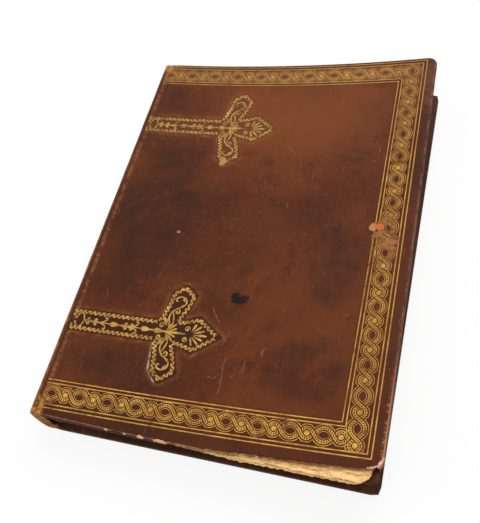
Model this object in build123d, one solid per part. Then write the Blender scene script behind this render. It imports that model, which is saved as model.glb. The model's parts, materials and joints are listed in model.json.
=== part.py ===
"""Antique sketchbook in full leather, lying on its back cover.

+X runs from the spine to the fore-edge, +Y from tail to head and +Z up, in millimetres.
The origin is on the table, under the middle of the covers. The back cover is flat.
The front cover has warped: it lies on the leaves near the spine and lifts towards the fore-edge,
and its leather has torn away along the tail, so that the pulp board shows there.
"""
import os
from math import sqrt

from build123d import *

# Covers, seen from above
joint_x = -89.4            # line of the two leather joints, beside the spine
fore_x = 95.0              # fore-edge of the front cover
head_y = 134.0             # head edge of the front cover
tail_y = -130.2            # tail edge of both covers at the joints
front_tail_run = 7.8       # how far the front tail edge drops out of square by the fore-edge
back_tail_run = 3.9        # the same for the back cover
back_head_cut = 1.5        # how much shorter the back cover is at the head
back_fore_lean = 2.0       # how far the back fore-edge leans out at the head and in at the tail
corner_r = 3.0             # covered corners, rubbed round
bumped_corner_r = 6.0      # head corner of the front cover, bumped rounder
bare_corner_r = 13.0       # bare corner of the front board, worn away

# Materials, through the thickness
leather_t = 1.0
board_t = 3.0
turn_in_t = 0.6            # leather pared thin where it turns in over the boards
turn_in_w = 14.0           # width of the turn-ins on the inside of the boards
paper_t = 0.3              # pastedowns
lining_t = 0.8             # mull and paper on the back of the leaves
glue_gap = 0.1             # paste between two layers
page_gap = 0.3             # between the leaves and the covers
joint_gap = 0.4            # on each side of a joint line

# Warp of the front cover
bow_low_x = -36.0          # where the front cover lies closest to the leaves
bow_radius = 1087.0        # bow from the spine to the fore-edge
cup_rise = 4.1             # further lift of the fore-edge at the head and tail

# Leaves
page_fore_x = 88.0
page_head_y = 129.5
page_tail_y = -125.5
page_t = 15.0              # thickness where the front cover touches
page_swell = 4.2           # how much thicker the leaves are at the fore-edge
fore_hollow = 1.6          # concave fore-edge of the rounded book
spine_round = 2.3          # bulge of the rounded back
shoulder_w = 3.0           # width of the backed shoulders beside the joints
headband_d = 2.4

# Pressed strap ornaments on the front cover
strap_ys = (77.6, -72.0)   # centre lines of the two straps
strap_w = 14.4             # width of a strap's pressed field
cross_x = -32.1            # middle of the cross
cross_tip = 33.4           # reach of its point, past the middle
cross_arm = 31.3           # reach of each side arm
arm_back = 5.0             # near side of an arm, before the middle
arm_lean = 3.7             # how far the tip of an arm leans towards the fore-edge
arm_front = 12.6           # shoulder of an arm, past the middle
neck_front = 8.1           # neck between an arm and the pointed lobe
lobe_w = 24.4              # width of the pointed lobe
press_depth = 0.4

# Tear along the tail of the front leather
tear_start_x = -14.0       # where the torn edge leaves the edge of the board
tear_y = -132.0            # level of the torn edge along the bare stretch
tear_wave = 0.5            # waver of the torn edge
tear_waves = 6             # number of wavers
ply_t = 1.2                # outer ply of the pulp board, torn off with the leather
ply_back = 2.0             # how far the torn ply reaches past the torn leather

# Derived levels
cover_t = leather_t + board_t + turn_in_t + 2 * glue_gap
page_low_z = cover_t + page_gap
page_top_z = page_low_z + page_t
front_low_z = page_top_z + page_gap + cover_t
spine_wrap = lining_t + leather_t + 2 * glue_gap
board_spine_x = joint_x + 2 * joint_gap + leather_t
lip_start_x = board_spine_x + joint_gap
slab_start_x = joint_x - shoulder_w     # the warped slabs run past the cover on every side
slab_end_x = fore_x + shoulder_w
reach = head_y + front_tail_run + shoulder_w


def front_z(x, y):
    """Height of the outer face of the front cover."""
    bow = bow_radius - sqrt(bow_radius**2 - (x - bow_low_x) ** 2)
    cup = cup_rise * (x - joint_x) / (fore_x - joint_x) * (y / head_y) ** 2
    return front_low_z + bow + cup


def warped_slab(depth_top, depth_bottom):
    """The layer of the front cover between two depths below its outer face, untrimmed."""
    xs = (slab_start_x, (slab_start_x + slab_end_x) / 2, slab_end_x)

    def section(y):
        top = [Vector(x, y, front_z(x, y) - depth_top) for x in xs]
        bottom = [Vector(x, y, front_z(x, y) - depth_bottom) for x in xs]
        edges = [
            ThreePointArc(*top),
            Line(top[2], bottom[2]),
            ThreePointArc(*bottom[::-1]),
            Line(bottom[0], top[0]),
        ]
        return make_face(edges)

    return loft([section(-reach), section(0.0), section(reach)])


def cover_face(front, inset, start_x, round_tail=corner_r):
    """Plan of a cover, drawn in by an inset on its head, fore-edge and tail."""
    top_y = head_y if front else head_y - back_head_cut
    run = front_tail_run if front else back_tail_run
    lean = 0.0 if front else back_fore_lean
    round_head = bumped_corner_r if front else corner_r
    slope = run / (fore_x - joint_x)
    head_x = fore_x + lean - inset
    tail_x = fore_x - lean - inset

    def tail_at(x):
        return tail_y - slope * (x - joint_x) + inset

    corners = [
        (start_x, top_y - inset),
        (head_x, top_y - inset),
        (tail_x, tail_at(tail_x)),
        (start_x, tail_at(start_x)),
    ]
    face = make_face(Polyline(*corners, close=True))
    fore = face.vertices().sort_by(Axis.X)[-2:].sort_by(Axis.Y)
    face = fillet(fore[1], max(round_head - inset, 0.5))
    fore = face.vertices().filter_by(lambda v: v.Y < 0).sort_by(Axis.X)[-1]
    return fillet(fore, max(round_tail - inset, 0.5))


def prism(face):
    """A plan carried through the whole thickness of the book."""
    tall = 2 * front_low_z
    return extrude(Pos(0, 0, -tall / 2) * face, amount=2 * tall, dir=(0, 0, 1))


def joint_flap(face_of):
    """The space beside a joint, where only the outer layer of leather runs on past the board."""
    return face_of(Pos(lip_start_x, 0) * Rectangle(reach, 4 * reach, align=(Align.MAX, Align.CENTER)))


def strap_plan(centre_y):
    """Plan of one pressed strap: a band from the joint that opens into a three-armed cross."""
    half = strap_w / 2
    lobe = lobe_w / 2
    upper = [
        (joint_x, half),
        (cross_x - arm_back, half),
        (cross_x - arm_back + arm_lean / 2, cross_arm - arm_back),
        (cross_x + arm_lean, cross_arm),
        (cross_x + arm_front, cross_arm - arm_back),
        (cross_x + neck_front, (half + lobe) / 2),
        (cross_x + cross_tip / 2, lobe),
        (cross_x + cross_tip, 0),
    ]
    lower = [(x, -y) for x, y in upper[-2::-1]]
    return Pos(0, centre_y) * make_face(Polyline(*upper, *lower, close=True))


def torn_plan(level):
    """Plan of what is missing along the tail and round the bare corner, below a wavering torn edge."""
    span = fore_x - tear_start_x
    edge = [(tear_start_x, level - tear_wave * 4)]
    for i in range(1, tear_waves + 1):
        side = 1 if i % 2 else -1
        edge.append((tear_start_x + span * i / (tear_waves + 1), level + side * tear_wave))
    edge.append((fore_x, level + 2 * tear_wave))
    far = (fore_x + corner_r, level + 2 * tear_wave)
    low_y = tail_y - 2 * front_tail_run
    outer = Polyline(edge[-1], far, (far[0], low_y), (tear_start_x, low_y), edge[0])
    return make_face([Spline(*edge), *outer.edges()])


# Page block: leaves rounded and backed at the spine, hollow at the fore-edge
shoulder_x = joint_x - shoulder_w / 2 + joint_gap
shoulder_low_z = spine_wrap + page_gap
shoulder_high_z = front_z(joint_x, 0) - page_gap - spine_wrap
spine_mid_z = (shoulder_low_z + shoulder_high_z) / 2
page_joint_x = shoulder_x + shoulder_w
page_spine_top_z = page_top_z + bow_radius - sqrt(bow_radius**2 - (page_joint_x - bow_low_x) ** 2)
low_tip = (shoulder_x, 0, shoulder_low_z)
high_tip = (shoulder_x, 0, shoulder_high_z)
spine_back = ThreePointArc(low_tip, (shoulder_x - spine_round, 0, spine_mid_z), high_tip)
fore_top_z = page_top_z + page_swell
page_edges = [
    spine_back,
    Line(high_tip, (page_joint_x, 0, page_spine_top_z)),
    ThreePointArc(
        (page_joint_x, 0, page_spine_top_z), (bow_low_x, 0, page_top_z), (page_fore_x, 0, fore_top_z)
    ),
    ThreePointArc(
        (page_fore_x, 0, fore_top_z),
        (page_fore_x - fore_hollow, 0, (fore_top_z + page_low_z) / 2),
        (page_fore_x, 0, page_low_z),
    ),
    Line((page_fore_x, 0, page_low_z), (page_joint_x, 0, page_low_z)),
    Line((page_joint_x, 0, page_low_z), low_tip),
]
page_face = Pos(0, page_tail_y, 0) * make_face(page_edges)
text_block = extrude(page_face, amount=page_head_y - page_tail_y, dir=(0, 1, 0))

# Spine: lining and leather follow the rounded back between the joints
core_x = (joint_x + page_fore_x) / 2
core = make_face(
    [
        spine_back,
        Line(high_tip, (core_x, 0, shoulder_high_z)),
        Line((core_x, 0, shoulder_high_z), (core_x, 0, shoulder_low_z)),
        Line((core_x, 0, shoulder_low_z), low_tip),
    ]
)


def spine_layer(inner, outer, end_x, low_y, high_y):
    """A sheet wrapped round the back, between two distances from the leaves."""
    ring = offset(core, amount=outer, kind=Kind.ARC) - offset(core, amount=inner, kind=Kind.ARC)
    sheet = extrude(Pos(0, low_y, 0) * ring, amount=high_y - low_y, dir=(0, 1, 0))
    keep = Box(reach, 4 * reach, 4 * front_low_z, align=(Align.MAX, Align.CENTER, Align.CENTER))
    return sheet & (Pos(end_x, 0, 0) * keep)


spine_lining = spine_layer(glue_gap, glue_gap + lining_t, shoulder_x, page_tail_y, page_head_y)
spine_leather = spine_layer(
    2 * glue_gap + lining_t, spine_wrap, joint_x - joint_gap, tail_y + leather_t, head_y - leather_t
)

# Headbands: small wound bands standing on the ends of the leaves at the spine
band_x = shoulder_x + headband_d / 2
band_upper = Rectangle(headband_d, headband_d, align=(Align.CENTER, Align.MIN))
band_half = Circle(headband_d / 2) & band_upper
band_bar = extrude(band_half, amount=shoulder_high_z - shoulder_low_z - 2 * spine_wrap)
band_base_z = shoulder_low_z + spine_wrap
headband_head = Pos(band_x, page_head_y, band_base_z) * band_bar
headband_tail = Pos(band_x, page_tail_y, band_base_z) * Rot(0, 0, 180) * band_bar

# Front cover: warped board, leather turned over three edges, pastedown inside the turn-ins
board_top = leather_t + glue_gap
board_bottom = board_top + board_t
lip_top = cover_t - turn_in_t
edge_inset = leather_t + glue_gap
leather_end_x = joint_x + joint_gap

front_plan = prism(cover_face(True, 0.0, leather_end_x, bare_corner_r))
board_plan = prism(cover_face(True, edge_inset, board_spine_x, bare_corner_r))
front_board = warped_slab(board_top, board_bottom) & board_plan

torn_ply = warped_slab(leather_t, board_top + ply_t) & prism(torn_plan(tear_y - ply_back))
front_board -= torn_ply

front_leather = warped_slab(0.0, cover_t) & front_plan
pocket_plan = prism(cover_face(True, leather_t, joint_x - leather_t, bare_corner_r))
front_leather -= warped_slab(leather_t, lip_top) & pocket_plan
open_plan = prism(cover_face(True, turn_in_w, joint_x - leather_t))
front_leather -= warped_slab(board_top, cover_t + leather_t) & open_plan
front_leather -= warped_slab(leather_t, 2 * cover_t) & joint_flap(prism)
front_leather -= prism(torn_plan(tear_y))
for centre_y in strap_ys:
    front_leather -= warped_slab(-leather_t, press_depth) & prism(strap_plan(centre_y))

paste_plan = prism(cover_face(True, turn_in_w + 2 * glue_gap, board_spine_x))
front_pastedown = warped_slab(lip_top, lip_top + paper_t) & paste_plan

# Back cover: flat board, whole leather, pastedown
back_plan = cover_face(False, 0.0, leather_end_x)
back_board_face = cover_face(False, edge_inset, board_spine_x)
back_board = extrude(Pos(0, 0, leather_t + glue_gap) * back_board_face, amount=board_t)

back_leather = extrude(back_plan, amount=cover_t)
pocket = cover_face(False, leather_t, joint_x - leather_t)
back_leather -= extrude(Pos(0, 0, leather_t) * pocket, amount=lip_top - leather_t)
opening = cover_face(False, turn_in_w, joint_x - leather_t)
back_leather -= extrude(Pos(0, 0, board_top) * opening, amount=cover_t)
back_leather -= Pos(0, 0, leather_t) * joint_flap(lambda face: extrude(face, amount=cover_t))

paste_face = cover_face(False, turn_in_w + 2 * glue_gap, board_spine_x)
back_pastedown = extrude(Pos(0, 0, lip_top) * paste_face, amount=paper_t)

nodes = {
    "text_block": text_block,
    "spine_lining": spine_lining,
    "headband_head": headband_head,
    "headband_tail": headband_tail,
    "spine_leather": spine_leather,
    "front_board": front_board,
    "front_leather": front_leather,
    "front_pastedown": front_pastedown,
    "back_board": back_board,
    "back_leather": back_leather,
    "back_pastedown": back_pastedown,
}
os.makedirs("parts", exist_ok=True)
for name, shape in nodes.items():
    export_step(shape, f"parts/{name}.step")
print("front joint at", round(joint_x, 3), round(front_z(joint_x, 0), 3))
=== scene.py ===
import json
from functools import reduce
from math import asin, cos, hypot, pi, radians, sin, sqrt

import bmesh
import bpy
from mathutils import Matrix, Vector, noise


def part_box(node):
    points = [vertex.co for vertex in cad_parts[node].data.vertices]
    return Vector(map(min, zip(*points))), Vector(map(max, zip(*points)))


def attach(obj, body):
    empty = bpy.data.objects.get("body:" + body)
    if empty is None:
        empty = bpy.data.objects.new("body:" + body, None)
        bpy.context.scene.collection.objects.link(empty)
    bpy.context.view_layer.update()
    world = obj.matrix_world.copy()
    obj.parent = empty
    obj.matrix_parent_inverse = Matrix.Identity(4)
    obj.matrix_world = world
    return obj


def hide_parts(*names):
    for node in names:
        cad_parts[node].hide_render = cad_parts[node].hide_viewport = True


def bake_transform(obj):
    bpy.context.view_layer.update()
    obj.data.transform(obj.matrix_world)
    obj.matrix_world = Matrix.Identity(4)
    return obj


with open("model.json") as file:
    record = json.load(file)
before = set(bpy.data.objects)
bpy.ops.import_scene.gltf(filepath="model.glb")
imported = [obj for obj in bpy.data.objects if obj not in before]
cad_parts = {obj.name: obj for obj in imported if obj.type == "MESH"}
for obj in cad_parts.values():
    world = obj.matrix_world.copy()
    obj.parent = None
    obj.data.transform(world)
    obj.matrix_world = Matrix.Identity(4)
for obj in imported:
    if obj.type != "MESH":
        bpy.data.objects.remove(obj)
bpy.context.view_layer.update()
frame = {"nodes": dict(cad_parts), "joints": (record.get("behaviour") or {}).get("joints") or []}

# Leaves: gatherings of drawing paper sewn into one block, rounded and backed at the spine.
# The edges were cut with a plough and have browned; the gatherings stand a little out of line.
mm = 0.001
leaf_low, leaf_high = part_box("text_block")
leaf_count = 46            # visible steps through the thickness
leaf_stray = 0.35 * mm     # how far a gathering stands out of line
shoulder_run = 3.0 * mm    # where the outer leaves bend over the backed shoulders
shoulder_low = 2.8 * mm
shoulder_high = 2.6 * mm
back_bulge = 2.3 * mm      # rounded back, and the hollow that it makes in the fore-edge
fore_hollow = 1.6 * mm
leaf_floor = 5.1 * mm      # lowest leaf, above the back board
leaf_top = 20.1 * mm       # top leaf where the front board rests on it
touch_x = -36.0 * mm
bow_radius = 1087.0 * mm   # the front board has bowed, and by the spine the top leaf follows it
fore_run = 124.0 * mm      # from the touching line to the fore-edge of the leaves
fore_swell = 4.2 * mm      # the block is thicker at the fore-edge


def leaf_height(x, share):
    """Height of a leaf, from the lowest (share 0) to the top one (share 1)."""
    past = x - touch_x
    rise = fore_swell * (past / fore_run) ** 2 if past > 0 else past**2 / (2 * bow_radius)
    bend = max(0.0, 1.0 - (x - leaf_low.x - back_bulge) / shoulder_run)
    bottom = leaf_floor - shoulder_low * bend
    top = leaf_top + rise + shoulder_high * bend
    return bottom + (top - bottom) * share


def stray(layer, side):
    """How far the edge of one leaf stands back; leaves of one gathering go together."""
    return leaf_stray * (0.5 + 0.7 * noise.noise((layer * 0.31, side * 9.7, 0.0)) + 0.25 * (layer % 2))


def own_values(mesh_in, *names):
    """New values that every vertex of a mesh carries."""
    return [mesh_in.verts.layers.float.new(name) for name in names]


leaves = bmesh.new()
bmesh.ops.create_grid(leaves, x_segments=44, y_segments=30, size=0.5)
along, across = own_values(leaves, "along", "across")
for v in leaves.verts:
    v[along] = v.co.x + 0.5
    v[across] = v.co.y + 0.5
lid = list(leaves.faces)
moving = list(leaves.verts)
for layer in range(leaf_count + 1):
    share = layer / leaf_count
    round_off = 1.0 - (2.0 * share - 1.0) ** 2
    x0 = leaf_low.x + back_bulge * (1.0 - round_off)
    x1 = leaf_high.x - fore_hollow * round_off - stray(layer, 0)
    y0 = leaf_low.y + stray(layer, 1)
    y1 = leaf_high.y - stray(layer, 2)
    if layer:
        grown = bmesh.ops.extrude_face_region(leaves, geom=lid)["geom"]
        if layer > 1:
            bmesh.ops.delete(leaves, geom=lid, context="FACES_ONLY")
        lid = [g for g in grown if isinstance(g, bmesh.types.BMFace)]
        moving = [g for g in grown if isinstance(g, bmesh.types.BMVert)]
    for v in moving:
        x = x0 + (x1 - x0) * v[along]
        v.co = (x, y0 + (y1 - y0) * v[across], leaf_height(x, share))
bmesh.ops.recalc_face_normals(leaves, faces=leaves.faces)


class Tint:
    """A value in a material's nodes. Arithmetic on it adds Math nodes."""

    def __init__(self, socket):
        self.socket = socket

    def feed(self, node, sockets):
        """Sets or links the sockets of a node."""
        for key, value in sockets.items():
            if isinstance(value, Tint):
                self.socket.id_data.links.new(value.socket, node.inputs[key])
            else:
                node.inputs[key].default_value = value

    def node(self, kind, settings, sockets, out=0):
        """Adds a node of any kind: its settings first, then its sockets."""
        made = self.socket.id_data.nodes.new(kind)
        for name, value in settings.items():
            setattr(made, name, value)
        self.feed(made, sockets)
        return Tint(made.outputs[out])

    def math(self, operation, *others):
        """Adds a Math node, with this value first."""
        return self.node("ShaderNodeMath", {"operation": operation}, dict(enumerate((self, *others))))

    def __add__(self, other):
        return self.math("ADD", other)

    def __sub__(self, other):
        return self.math("SUBTRACT", other)

    def __rsub__(self, other):
        return self.node("ShaderNodeMath", {"operation": "SUBTRACT"}, {0: other, 1: self})

    def __mul__(self, other):
        return self.math("MULTIPLY", other)

    def __truediv__(self, other):
        return self.math("DIVIDE", other)

    def __abs__(self):
        return self.math("ABSOLUTE")

    __radd__ = __add__
    __rmul__ = __mul__

    def over(self, other):
        """The larger of two values."""
        return self.math("MAXIMUM", other)

    def fade(self, start, end):
        """0 before start, 1 after end, smooth between; start may be the larger."""
        ends = {"Value": self, "From Min": start, "From Max": end}
        return self.node("ShaderNodeMapRange", {"interpolation_type": "SMOOTHSTEP"}, ends)

    def mix(self, first, second):
        """A colour between two, by this value."""
        return self.node("ShaderNodeMix", {"data_type": "RGBA"}, {0: self, 6: first, 7: second}, out=2)

    def stain(self, base, share, red, green, blue):
        """A base colour that turns to another, as a screen shows it, by a share of this value."""
        return (self * share).mix(base, shade(red, green, blue))

    def own(self, name):
        """An attribute of the piece itself."""
        return self.node("ShaderNodeAttribute", {"attribute_name": name}, {}, out="Fac")

    def cloud(self, scale, detail=3.0, rough=0.55):
        """Noise over these coordinates."""
        wants = {"Vector": self, "Scale": scale, "Detail": detail, "Roughness": rough}
        return self.node("ShaderNodeTexNoise", {}, wants)

    def part(self, axis):
        """One coordinate, in millimetres."""
        return self.node("ShaderNodeSeparateXYZ", {}, {0: self}, out=axis) * 1000.0

    def stretch(self, x, y, z):
        """The coordinates drawn out along the axes."""
        return self.node("ShaderNodeVectorMath", {"operation": "MULTIPLY"}, {0: self, 1: (x, y, z)})

    def relief(self, strength, distance):
        """A bump from this height."""
        return self.node("ShaderNodeBump", {}, {"Strength": strength, "Distance": distance, "Height": self})


def shade(red, green, blue):
    """A colour as a screen shows it, 0 to 255."""
    def level(c):
        """One channel, made linear."""
        c /= 255.0
        return c / 12.92 if c < 0.04045 else ((c + 0.055) / 1.055) ** 2.4
    return (level(red), level(green), level(blue), 1.0)


def new_finish(name):
    """A material, its shader and the coordinates of the piece."""
    material = bpy.data.materials.new(name)
    material.use_nodes = True
    shader = material.node_tree.nodes["Principled BSDF"]
    place = Tint(shader.outputs[0]).node("ShaderNodeTexCoord", {}, {}, out="Object")
    return material, shader, place


def add_object(name, data):
    """Puts a mesh, a lamp or a camera into the scene."""
    made = bpy.data.objects.new(name, data)
    bpy.context.collection.objects.link(made)
    return made


def add_mesh(name, mesh_in, material):
    """An object from a bmesh, in one finish."""
    mesh = bpy.data.meshes.new(name)
    mesh_in.to_mesh(mesh)
    mesh_in.free()
    mesh.materials.append(material)
    return add_object(name, mesh)


def add_piece(name, mesh_in, material, crease=60):
    """A finished piece of the book, with smooth faces and sharp folds."""
    made = add_mesh(name, mesh_in, material)
    made.data.shade_smooth()
    made.data.set_sharp_from_angle(angle=radians(crease))
    return made


paper, paper_shader, place = new_finish("drawing_paper")
strata = place.stretch(60.0, 60.0, 5200.0).cloud(1.0, 2.0)
gathering = place.stretch(8.0, 8.0, 620.0).cloud(1.0, 2.0)
foxing = place.cloud(70.0, 4.0).fade(0.58, 0.72)
colour = strata.fade(0.3, 0.7).mix(shade(176, 150, 112), shade(222, 204, 168))
colour = gathering.fade(0.45, 0.7).stain(colour, 0.6, 150, 122, 86)
colour = foxing.stain(colour, 0.5, 138, 96, 58)
# Painted shade with some dust: the leaves darken towards the spine, where they lie deep between the boards.
colour = place.part(0).fade(-74.0, -85.0).stain(colour, 0.75, 66, 47, 30)
place.feed(paper_shader, {"Base Color": colour, "Roughness": 0.9, "Normal": strata.relief(0.35, 0.0002)})


def aged_sheet(name):
    """The face of an old sheet: toned, lightly foxed, with the lines of the mould in it."""
    material, shader, place = new_finish(name)
    tone = place.cloud(18.0, 3.0)
    foxed = place.cloud(110.0, 4.0).fade(0.62, 0.74)
    laid = place.stretch(900.0, 40.0, 40.0).cloud(1.0, 2.0)
    colour = tone.fade(0.35, 0.7).mix(shade(214, 194, 154), shade(232, 217, 184))
    colour = foxed.stain(colour, 0.6, 166, 116, 70)
    colour = laid.fade(0.4, 0.7).stain(colour, 0.18, 186, 160, 118)
    place.feed(shader, {"Base Color": colour, "Roughness": 0.88, "Normal": laid.relief(0.15, 0.0001)})
    return material


leaf_block = add_piece("leaf_block", leaves, paper, 30)
leaf_block.data.materials.append(aged_sheet("blank_leaf"))
for face in leaf_block.data.polygons:
    face.material_index = 1 if abs(face.normal.z) > 0.7 else 0
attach(leaf_block, "page_block")
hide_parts("text_block")

# Spine lining: open-weave mull glued over the sewing and the backed folds.
# It is hidden under the leather and shows only as a thin line at the ends of the spine.
mull, mull_shader, place = new_finish("mull")
warp = (place.part(1) * 6.2).math("SINE")
weft = (place.part(2) * 6.2).math("SINE")
weave = abs(warp * weft)
colour = weave.fade(0.1, 0.8).mix(shade(120, 100, 74), shade(188, 170, 136))
place.feed(mull_shader, {"Base Color": colour, "Roughness": 0.95, "Normal": weave.relief(0.4, 0.0002)})


def dress(node_name, material):
    """Gives a solid of the CAD model its finish."""
    finishes = frame["nodes"][node_name].data.materials
    finishes.clear()
    finishes.append(material)


dress("spine_lining", mull)

# Headbands: two small rolls at the ends of the spine, wound with linen thread in two colours.
# Each is a round core, half sunk in the leaves, with a bead of thread for every turn of the winding.
thread_pitch = 0.62 * mm
thread_rise = 0.10 * mm
linen, linen_shader, place = new_finish("linen_thread")
turn = (place.part(2) * (pi * mm / thread_pitch)).math("SINE")
strand = place.stretch(900.0, 900.0, 4000.0).cloud(1.0, 2.0)
colour = turn.fade(-0.2, 0.2).mix(shade(176, 152, 108), shade(122, 56, 40))
colour = strand.stain(colour, 0.5, 96, 74, 50)
place.feed(linen_shader, {"Base Color": colour, "Roughness": 0.85, "Normal": strand.relief(0.3, 0.0001)})
for node_name, end in (("headband_head", 1), ("headband_tail", -1)):
    low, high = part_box(node_name)
    core_y = low.y if end > 0 else high.y
    core_x = (low.x + high.x) / 2
    core_r = (high.x - low.x) / 2 - thread_rise
    turns = int((high.z - low.z) / thread_pitch)
    band = bmesh.new()
    ring = bmesh.ops.create_circle(band, cap_ends=True, segments=18, radius=core_r)["verts"]
    bmesh.ops.translate(band, verts=ring, vec=(core_x, core_y, low.z))
    lid = list(band.faces)
    for step in range(1, 4 * turns + 1):
        lid = bmesh.ops.extrude_discrete_faces(band, faces=lid)["faces"]
        phase = (1.0, 0.5, 0.0, 0.5)[step % 4]
        for v in lid[0].verts:
            away = Vector((v.co.x - core_x, v.co.y - core_y))
            away = away.normalized() * (core_r + thread_rise * phase)
            v.co = (core_x + away.x, core_y + away.y, low.z + (high.z - low.z) * step / (4 * turns))
    bmesh.ops.recalc_face_normals(band, faces=band.faces)
    wound = add_piece(node_name + "_thread", band, linen, 70)
    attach(wound, "page_block")
    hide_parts(node_name)

# Boards: straw-coloured pulp board, pasted up in plies and laced to the block.
# The back board is whole. The front one is bare along the tail, where its plies have frayed apart.
joint_x = -89.4 * mm
fore_x = 95.0 * mm
head_y = 134.0 * mm
tail_y = -130.2 * mm
tail_run = 7.8 * mm        # the front tail edge runs out of square
cup_rise = 4.1 * mm        # the fore corners of the front board have lifted
covered_r = 3.0 * mm
bumped_r = 6.0 * mm        # head corner of the front cover
bare_r = 4.0 * mm          # tail corner of the outermost ply, before it wore back
front_hinge = next(j for j in frame["joints"] if j["name"] == "front_joint")["pos_m"]
ply_t = 0.72 * mm
ply_pitch = 0.76 * mm
tear_x = -14.0 * mm        # where the leather begins to be torn off the tail edge
board_depth = 1.1 * mm     # top of the board under the leather
board_inset = 1.1 * mm
board_start_x = -87.6 * mm
fibre_count = 90           # loose fibres along the tear


def front_height(x, y):
    """Height of the outer face of the front cover."""
    def bow(at):
        """Rise of the bowed board."""
        return bow_radius - sqrt(bow_radius**2 - (at - touch_x) ** 2)
    cup = cup_rise * (x - joint_x) / (fore_x - joint_x) * (y / head_y) ** 2
    return front_hinge[2] + bow(x) - bow(joint_x) + cup


def front_tail(x):
    """Tail edge of the front cover."""
    return tail_y - tail_run * (x - joint_x) / (fore_x - joint_x)


def torn_edge(x):
    """Where the leather of the front cover has torn away; left of it the tail edge is whole."""
    stops = (
        (-14, -133.4), (-4, -133.1), (20, -133.0), (27, -132.2), (50, -132.2), (68, -131.7), (85, -130.9),
        (90, -130.2), (96, -128.5),
    )
    for (x0, y0), (x1, y1) in zip(stops, stops[1:]):
        if x <= x1 * mm:
            share = (x / mm - x0) / (x1 - x0)
            fray = 0.42 * noise.noise((x * 700, 0, 3.1)) + 0.28 * noise.noise((x * 1900, 0, 7.7))
            return (y0 + (y1 - y0) * share + fray) * mm
    return stops[-1][1] * mm


def cover_point(s, t, start_x, inset, fores, head, tail, corners):
    """A point of a cover's plan, and the way out of it; s runs to the fore-edge, t from tail to head."""
    edge_x = fores[0] + (fores[1] - fores[0]) * t - inset
    x = start_x + (edge_x - start_x) * s
    low = tail(x) + inset
    high = head - inset
    y = low + (high - low) * t
    out = Vector((1.0, 0.0)) if s > 0.999 else Vector((0.0, 1.0 if t > 0.5 else -1.0))
    for side, radius in zip((-1, 1), corners):
        radius = max(radius - inset, 0.4 * mm)
        hub_y = (high if side > 0 else low) - side * radius
        dx = x - (edge_x - radius)
        dy = (y - hub_y) * side
        if dx > 0 and dy > 0:
            pull = max(dx, dy) / hypot(dx, dy)
            x = edge_x - radius + dx * pull
            y = hub_y + side * dy * pull
            out = Vector((dx, side * dy)).normalized()
    return x, y, out


def thicken(made, thickness):
    """Gives a sheet its thickness, under its outer face."""
    solid = made.modifiers.new("thickness", "SOLIDIFY")
    solid.thickness = thickness
    solid.offset = -1.0


pulp, pulp_shader, place = new_finish("pulp_board")
fibre = place.stretch(240.0, 700.0, 700.0).cloud(1.0, 5.0, 0.7)
fleck = place.cloud(900.0, 2.0).fade(0.6, 0.7)
damp = place.cloud(95.0, 4.0).fade(0.48, 0.72)
colour = fibre.fade(0.3, 0.65).mix(shade(240, 182, 106), shade(255, 224, 160))
colour = damp.stain(colour, 0.24, 190, 128, 68)
colour = fleck.stain(colour, 0.4, 126, 80, 42)
# Glue left on the board and painted shade: it darkens just under the torn leather's overhanging edge.
glue_and_shade = place.own("laid_bare").fade(0.62, 0.1) * place.cloud(330.0, 3.0).fade(0.24, 0.5)
colour = glue_and_shade.stain(colour, 0.75, 124, 74, 42)
place.feed(pulp_shader, {"Base Color": colour, "Roughness": 0.95, "Normal": fibre.relief(0.7, 0.0006)})
dress("back_board", pulp)

plies = bmesh.new()
ply_reach = (0.05, 0.28, 0.84, 1.0)   # how far past the torn leather each ply still reaches
ply_worn = (1.0, 2.4, 3.8, 5.0)       # how far the corner of each ply has worn back, in millimetres
laid_bare, = own_values(plies, "laid_bare")
for layer, reach in enumerate(ply_reach):
    def ply_tail(x):
        """Tail edge of this ply, frayed where the leather is gone."""
        whole = front_tail(x)
        if x < tear_x:
            return whole
        torn = torn_edge(x)
        patch = 0.55 * noise.noise((x * 75, layer * 3.3, 0)) + 0.25 * noise.noise((x * 210, layer * 7.7, 2))
        spread = min(1.0, max(0.0, reach + patch * (0.6 if layer < 3 else 0.1)))
        fray = 0.5 * noise.noise((x * 520, layer * 5.0, 0)) + 0.4 * noise.noise((x * 1500, layer * 9.0, 1))
        begun = min(1.0, (x - tear_x) / (30.0 * mm))
        return torn - board_inset * begun + (whole - torn) * spread + fray * begun * mm
    corners = (bare_r + ply_worn[layer] * mm, bumped_r)
    fores = (fore_x - ply_worn[layer] * mm, fore_x)
    grid = bmesh.ops.create_grid(plies, x_segments=230, y_segments=26, size=0.5)["verts"]
    for v in grid:
        s = v.co.x + 0.5
        t = (v.co.y + 0.5) ** 2.2
        x, y = cover_point(s, t, board_start_x, board_inset, fores, head_y, ply_tail, corners)[:2]
        bare = max(0.0, min(1.0, (torn_edge(x) - y) / (2.0 * mm))) if x > tear_x else 0.0
        rough = 0.55 * noise.noise((x * 260, y * 260, layer)) + 0.4 * noise.noise((x * 800, y * 800, layer))
        sag = (0.0, 0.0, -0.2, 0.4)[layer] * bare
        v[laid_bare] = bare
        depth = board_depth + layer * ply_pitch + (sag - rough * bare) * mm
        v.co = (x, y, front_height(x, y) - depth)
bare_board = add_piece("front_board_plies", plies, pulp)
thicken(bare_board, ply_t)
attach(bare_board, "front_cover")
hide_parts("front_board")

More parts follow.
